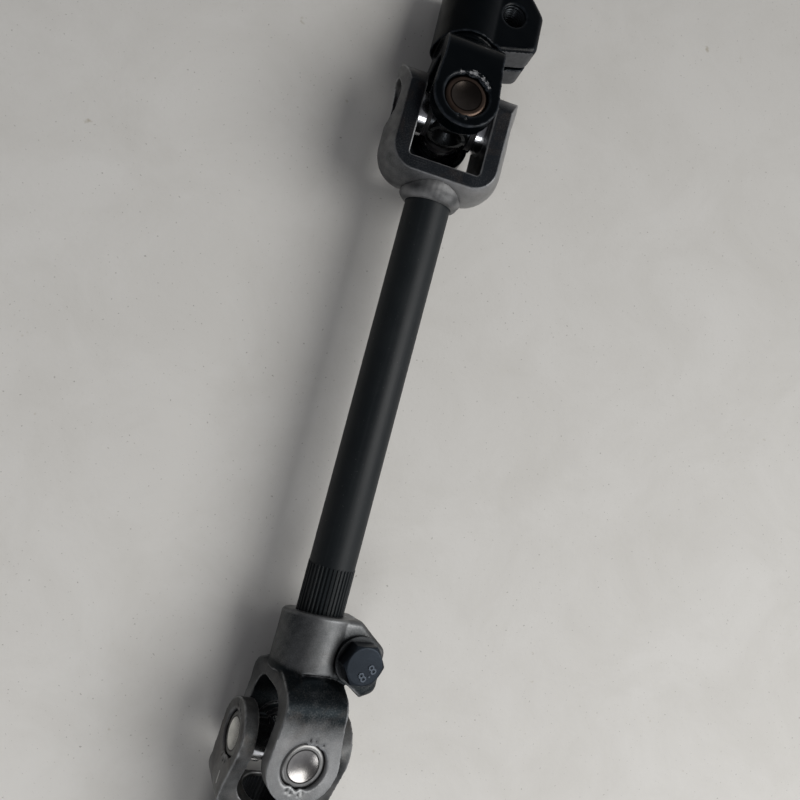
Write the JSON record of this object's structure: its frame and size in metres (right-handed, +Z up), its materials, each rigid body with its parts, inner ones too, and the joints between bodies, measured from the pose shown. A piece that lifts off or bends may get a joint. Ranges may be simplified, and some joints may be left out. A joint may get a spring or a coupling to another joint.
{
  "type": "steering intermediate shaft",
  "caption": "Steering intermediate shaft: a round bar with a universal joint at each end and pinch-bolt clamp yokes.",
  "frame": {"origin": "middle of the footprint, on the surface that the part lies on", "axes": "+Y along the shaft towards the upper joint, +Z up, +X to the side that the upper clamp's lugs point to"},
  "size_m": [0.047, 0.3262, 0.0438],
  "materials": {
    "shaft_black": "satin black",
    "fork_steel": "phosphated, lightly oiled",
    "weld": "as welded",
    "black_paint": "gloss black, chipped at the stakes",
    "clamp_steel": "phosphated, lightly oiled",
    "bolt_black": "black oxide",
    "washer_zinc": "dull zinc",
    "cross_steel": "forged and ground",
    "cup_steel": "drawn and polished",
    "needle_steel": "ground",
    "seal_rubber": "matte"
  },
  "bodies": {
    "shaft_assembly": {"intermediate_shaft": "shaft_black", "shaft_yoke": "fork_steel", "weld_bead": "weld", "lower_clamp_yoke": "clamp_steel", "pinch_bolt": "bolt_black", "flat_washer": "washer_zinc", "upper_cup_left": "cup_steel", "upper_cup_right": "cup_steel", "upper_needles_left": "needle_steel", "upper_needles_right": "needle_steel", "lower_cup_bottom": "cup_steel", "lower_cup_top": "cup_steel", "lower_needles_bottom": "needle_steel", "lower_needles_top": "needle_steel"},
    "upper_cross_set": {"upper_cross": "cross_steel", "upper_seal_left": "seal_rubber", "upper_seal_right": "seal_rubber", "upper_seal_bottom": "seal_rubber", "upper_seal_top": "seal_rubber"},
    "upper_yoke": {"upper_clamp_yoke": "black_paint", "upper_cup_bottom": "cup_steel", "upper_cup_top": "cup_steel", "upper_needles_bottom": "needle_steel", "upper_needles_top": "needle_steel"},
    "lower_cross_set": {"lower_cross": "cross_steel", "lower_seal_left": "seal_rubber", "lower_seal_right": "seal_rubber", "lower_seal_bottom": "seal_rubber", "lower_seal_top": "seal_rubber"},
    "end_yoke": {"end_clamp_yoke": "clamp_steel", "lower_cup_left": "cup_steel", "lower_cup_right": "cup_steel", "lower_needles_left": "needle_steel", "lower_needles_right": "needle_steel"}
  },
  "joints": [
    {"name": "upper_fork_axis", "type": "hinge", "parent": "shaft_assembly", "child": "upper_cross_set", "pos_m": [-0.00088, 0.1069, 0.0219], "axis": [1, 0, 0], "range_deg": [-12.6, 31.3]},
    {"name": "upper_clamp_axis", "type": "hinge", "parent": "upper_cross_set", "child": "upper_yoke", "pos_m": [-0.00088, 0.1069, 0.0219], "axis": [0, 0.1622, 0.9868], "range_deg": [-22, 22]},
    {"name": "lower_clamp_axis", "type": "hinge", "parent": "shaft_assembly", "child": "lower_cross_set", "pos_m": [-0.00088, -0.1117, 0.0219], "axis": [0.2419, 0, 0.9703], "range_deg": [-22, 28]},
    {"name": "end_fork_axis", "type": "hinge", "parent": "lower_cross_set", "child": "end_yoke", "pos_m": [-0.00088, -0.1117, 0.0219], "axis": [0.969, -0.0523, -0.2416], "range_deg": [-37, 12.9]}
  ]
}
